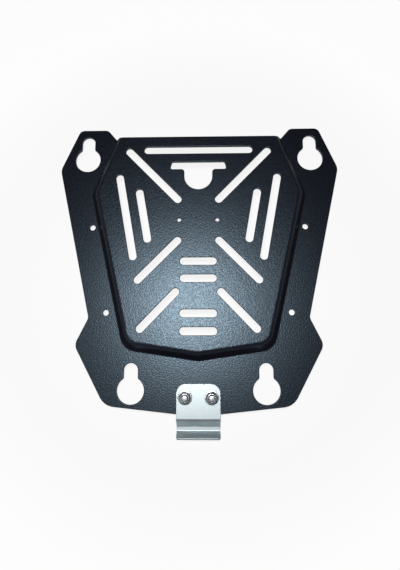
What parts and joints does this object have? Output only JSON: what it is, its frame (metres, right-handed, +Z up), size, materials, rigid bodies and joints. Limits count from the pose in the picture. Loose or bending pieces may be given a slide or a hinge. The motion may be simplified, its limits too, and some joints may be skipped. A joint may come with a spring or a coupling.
{
  "type": "top case mounting plate",
  "caption": "Pressed black steel plate with a raised slotted panel, keyholes for case studs and a bolted latch hook, for fixing a top case to a luggage rack.",
  "frame": {"origin": "centre of the object's footprint, on the surface that the hook's ledge rests on", "axes": "+X to the right and +Y to the front wings, seen from above; +Z up, out of the raised panel"},
  "size_m": [0.2976, 0.325, 0.021],
  "materials": {
    "powder_coat": "fine-textured black powder coat with a slight blue-grey sheen",
    "zinc_plate": "bright zinc plate",
    "fastener_steel": "plain steel, lightly polished"
  },
  "bodies": {
    "root": {"mounting_plate": "powder_coat", "latch_hook": "zinc_plate", "hook_bolt_left": "fastener_steel", "hook_bolt_right": "fastener_steel", "hook_nut_left": "fastener_steel", "hook_nut_right": "fastener_steel"}
  },
  "joints": []
}
